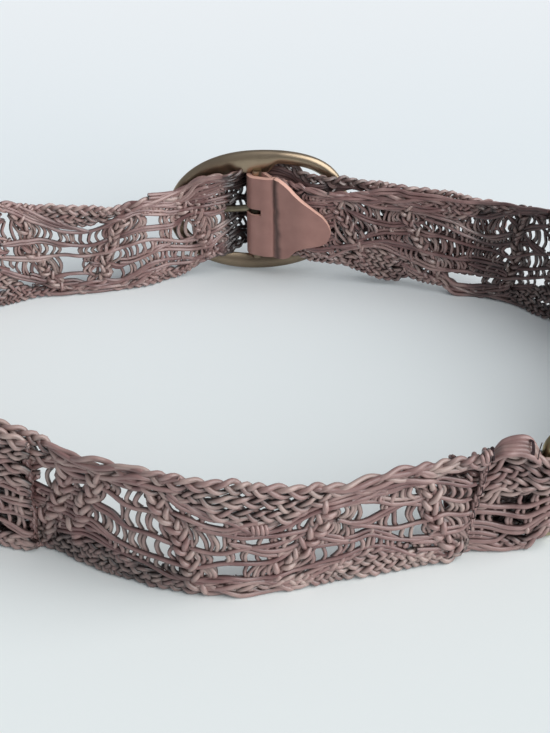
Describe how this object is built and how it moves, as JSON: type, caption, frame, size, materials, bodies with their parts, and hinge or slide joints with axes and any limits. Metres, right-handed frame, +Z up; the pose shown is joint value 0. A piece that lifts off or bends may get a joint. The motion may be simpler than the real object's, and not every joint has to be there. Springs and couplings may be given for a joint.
{
  "type": "wide braided belt",
  "caption": "Wide openwork belt of plaited leather cord with an oval buckle, leather tab and side rings, fastened in a loop standing on its edge.",
  "frame": {"origin": "middle of the belt's bounding box, on the surface it stands on", "axes": "+Z up along the belt's width, -Y the run opposite the buckle, +Y the buckle side"},
  "size_m": [0.373, 0.2648, 0.07],
  "materials": {
    "braid": "plaited round cord, satin, dusty mauve brown",
    "tab_leather": "smooth strip with pale cut edges",
    "antique_brass": "aged, satin",
    "ring_brass": "aged, satin"
  },
  "bodies": {
    "root": {"back_panel": "braid", "right_ring_loop": "braid", "right_side_panel": "braid", "left_side_panel": "braid", "ring_right": "ring_brass", "ring_left": "ring_brass", "buckle_frame": "antique_brass", "prong": "antique_brass", "leather_tab": "tab_leather"}
  },
  "joints": []
}
